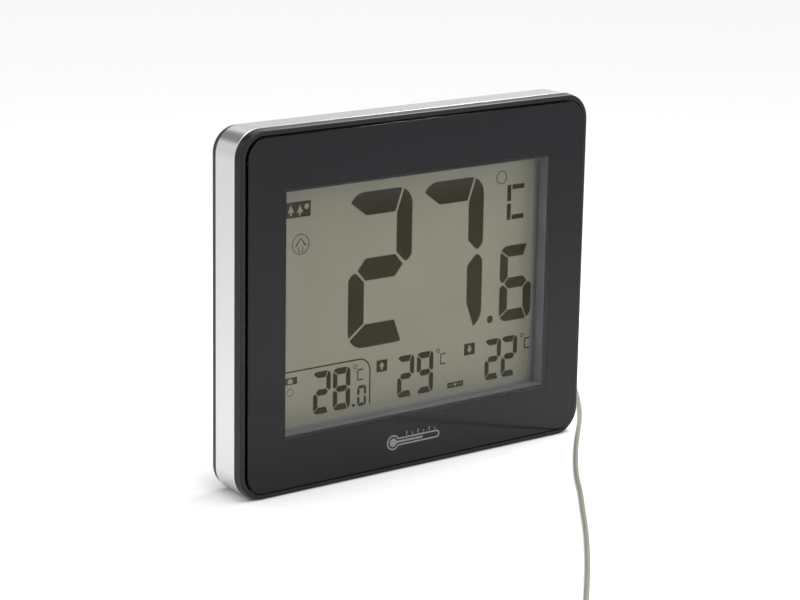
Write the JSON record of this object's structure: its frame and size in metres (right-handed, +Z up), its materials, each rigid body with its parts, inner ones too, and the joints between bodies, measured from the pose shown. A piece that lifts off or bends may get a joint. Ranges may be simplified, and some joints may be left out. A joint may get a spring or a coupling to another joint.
{
  "type": "maximum minimum thermometer",
  "caption": "Slim upright digital thermometer with a large display, silver side band, fold-out stand, battery door, push buttons and an outdoor probe on a long thin lead.",
  "frame": {"origin": "middle of the case's footprint, on the surface it stands on", "axes": "+Z up, -Y out of the display, +X to the viewer's right"},
  "size_m": [0.1606, 0.219, 0.1013],
  "materials": {
    "bezel": "gloss black moulded plastic",
    "panel": "clear polished acrylic",
    "print": "black printed film",
    "tape": "black adhesive foam",
    "band": "satin silver",
    "back": "fine spark-textured black plastic",
    "stand": "fine spark-textured black plastic",
    "shroud": "grey plastic",
    "polariser": "grey polarising film",
    "lcd_glass": "thin float glass",
    "seal": "epoxy seal",
    "reflector": "grey green reflective film",
    "ink": "dark liquid crystal segments",
    "zebra": "layered conductive rubber",
    "board": "green solder mask",
    "chip": "black potting resin",
    "tin": "tinned steel",
    "can": "sleeved capacitor",
    "smd": "ceramic chip parts",
    "button": "grey moulded cap",
    "plunger": "black nylon",
    "cell": "printed steel can",
    "wire": "insulated wire",
    "screw": "zinc plated steel",
    "lead": "soft grey PVC lead",
    "grommet": "soft grey PVC",
    "tie": "black plastic covered wire tie",
    "collar": "black moulded sleeve",
    "probe": "stainless steel tube"
  },
  "bodies": {
    "case": {"front_bezel": "bezel", "front_panel": "panel", "panel_print": "print", "panel_tape": "tape", "side_band": "band", "back_cover": "back", "lcd_shroud": "shroud", "front_polariser": "polariser", "lcd_front_glass": "lcd_glass", "lcd_seal": "seal", "lcd_back_glass": "lcd_glass", "lcd_reflector": "reflector", "outdoor_digits": "ink", "room_digits": "ink", "high_digits": "ink", "low_digits": "ink", "lcd_symbols": "ink", "zebra_strip": "zebra", "circuit_board": "board", "chip_blob": "chip", "crystal": "tin", "capacitors": "can", "chip_resistors": "smd", "switch_bodies": "tin", "room_thermistor": "chip", "battery_upper": "cell", "battery_lower": "cell", "battery_springs": "tin", "battery_plates": "tin", "battery_wires": "wire", "case_screws": "screw", "board_screws": "screw", "lead_grommet": "grommet", "inner_lead": "lead", "probe_lead": "lead", "lead_coil": "lead", "lead_tie": "tie", "probe_tail": "lead", "probe_collar": "collar", "probe_sleeve": "probe"},
    "battery_door": {"battery_door": "back"},
    "stand": {"stand": "stand"},
    "record_button": {"button_record": "button", "plunger_record": "plunger"},
    "reset_button": {"button_reset": "button", "plunger_reset": "plunger"},
    "unit_button": {"button_unit": "button", "plunger_unit": "plunger"}
  },
  "joints": [
    {"name": "stand_hinge", "type": "hinge", "parent": "case", "child": "stand", "pos_m": [0, 0.0051, 0.003], "axis": [-1, 0, 0], "range_deg": [0, 91]},
    {"name": "door_slide", "type": "slide", "parent": "case", "child": "battery_door", "axis": [0, 0, 1], "range_m": [0, 0.03]},
    {"name": "record_press", "type": "slide", "parent": "case", "child": "record_button", "axis": [0, -1, 0], "range_m": [0, 0.0005], "stiffness_N_per_m": 1000, "springref_m": -0.0005},
    {"name": "reset_press", "type": "slide", "parent": "case", "child": "reset_button", "axis": [0, -1, 0], "range_m": [0, 0.0005], "stiffness_N_per_m": 1000, "springref_m": -0.0005},
    {"name": "unit_press", "type": "slide", "parent": "case", "child": "unit_button", "axis": [0, -1, 0], "range_m": [0, 0.0005], "stiffness_N_per_m": 1000, "springref_m": -0.0005}
  ]
}
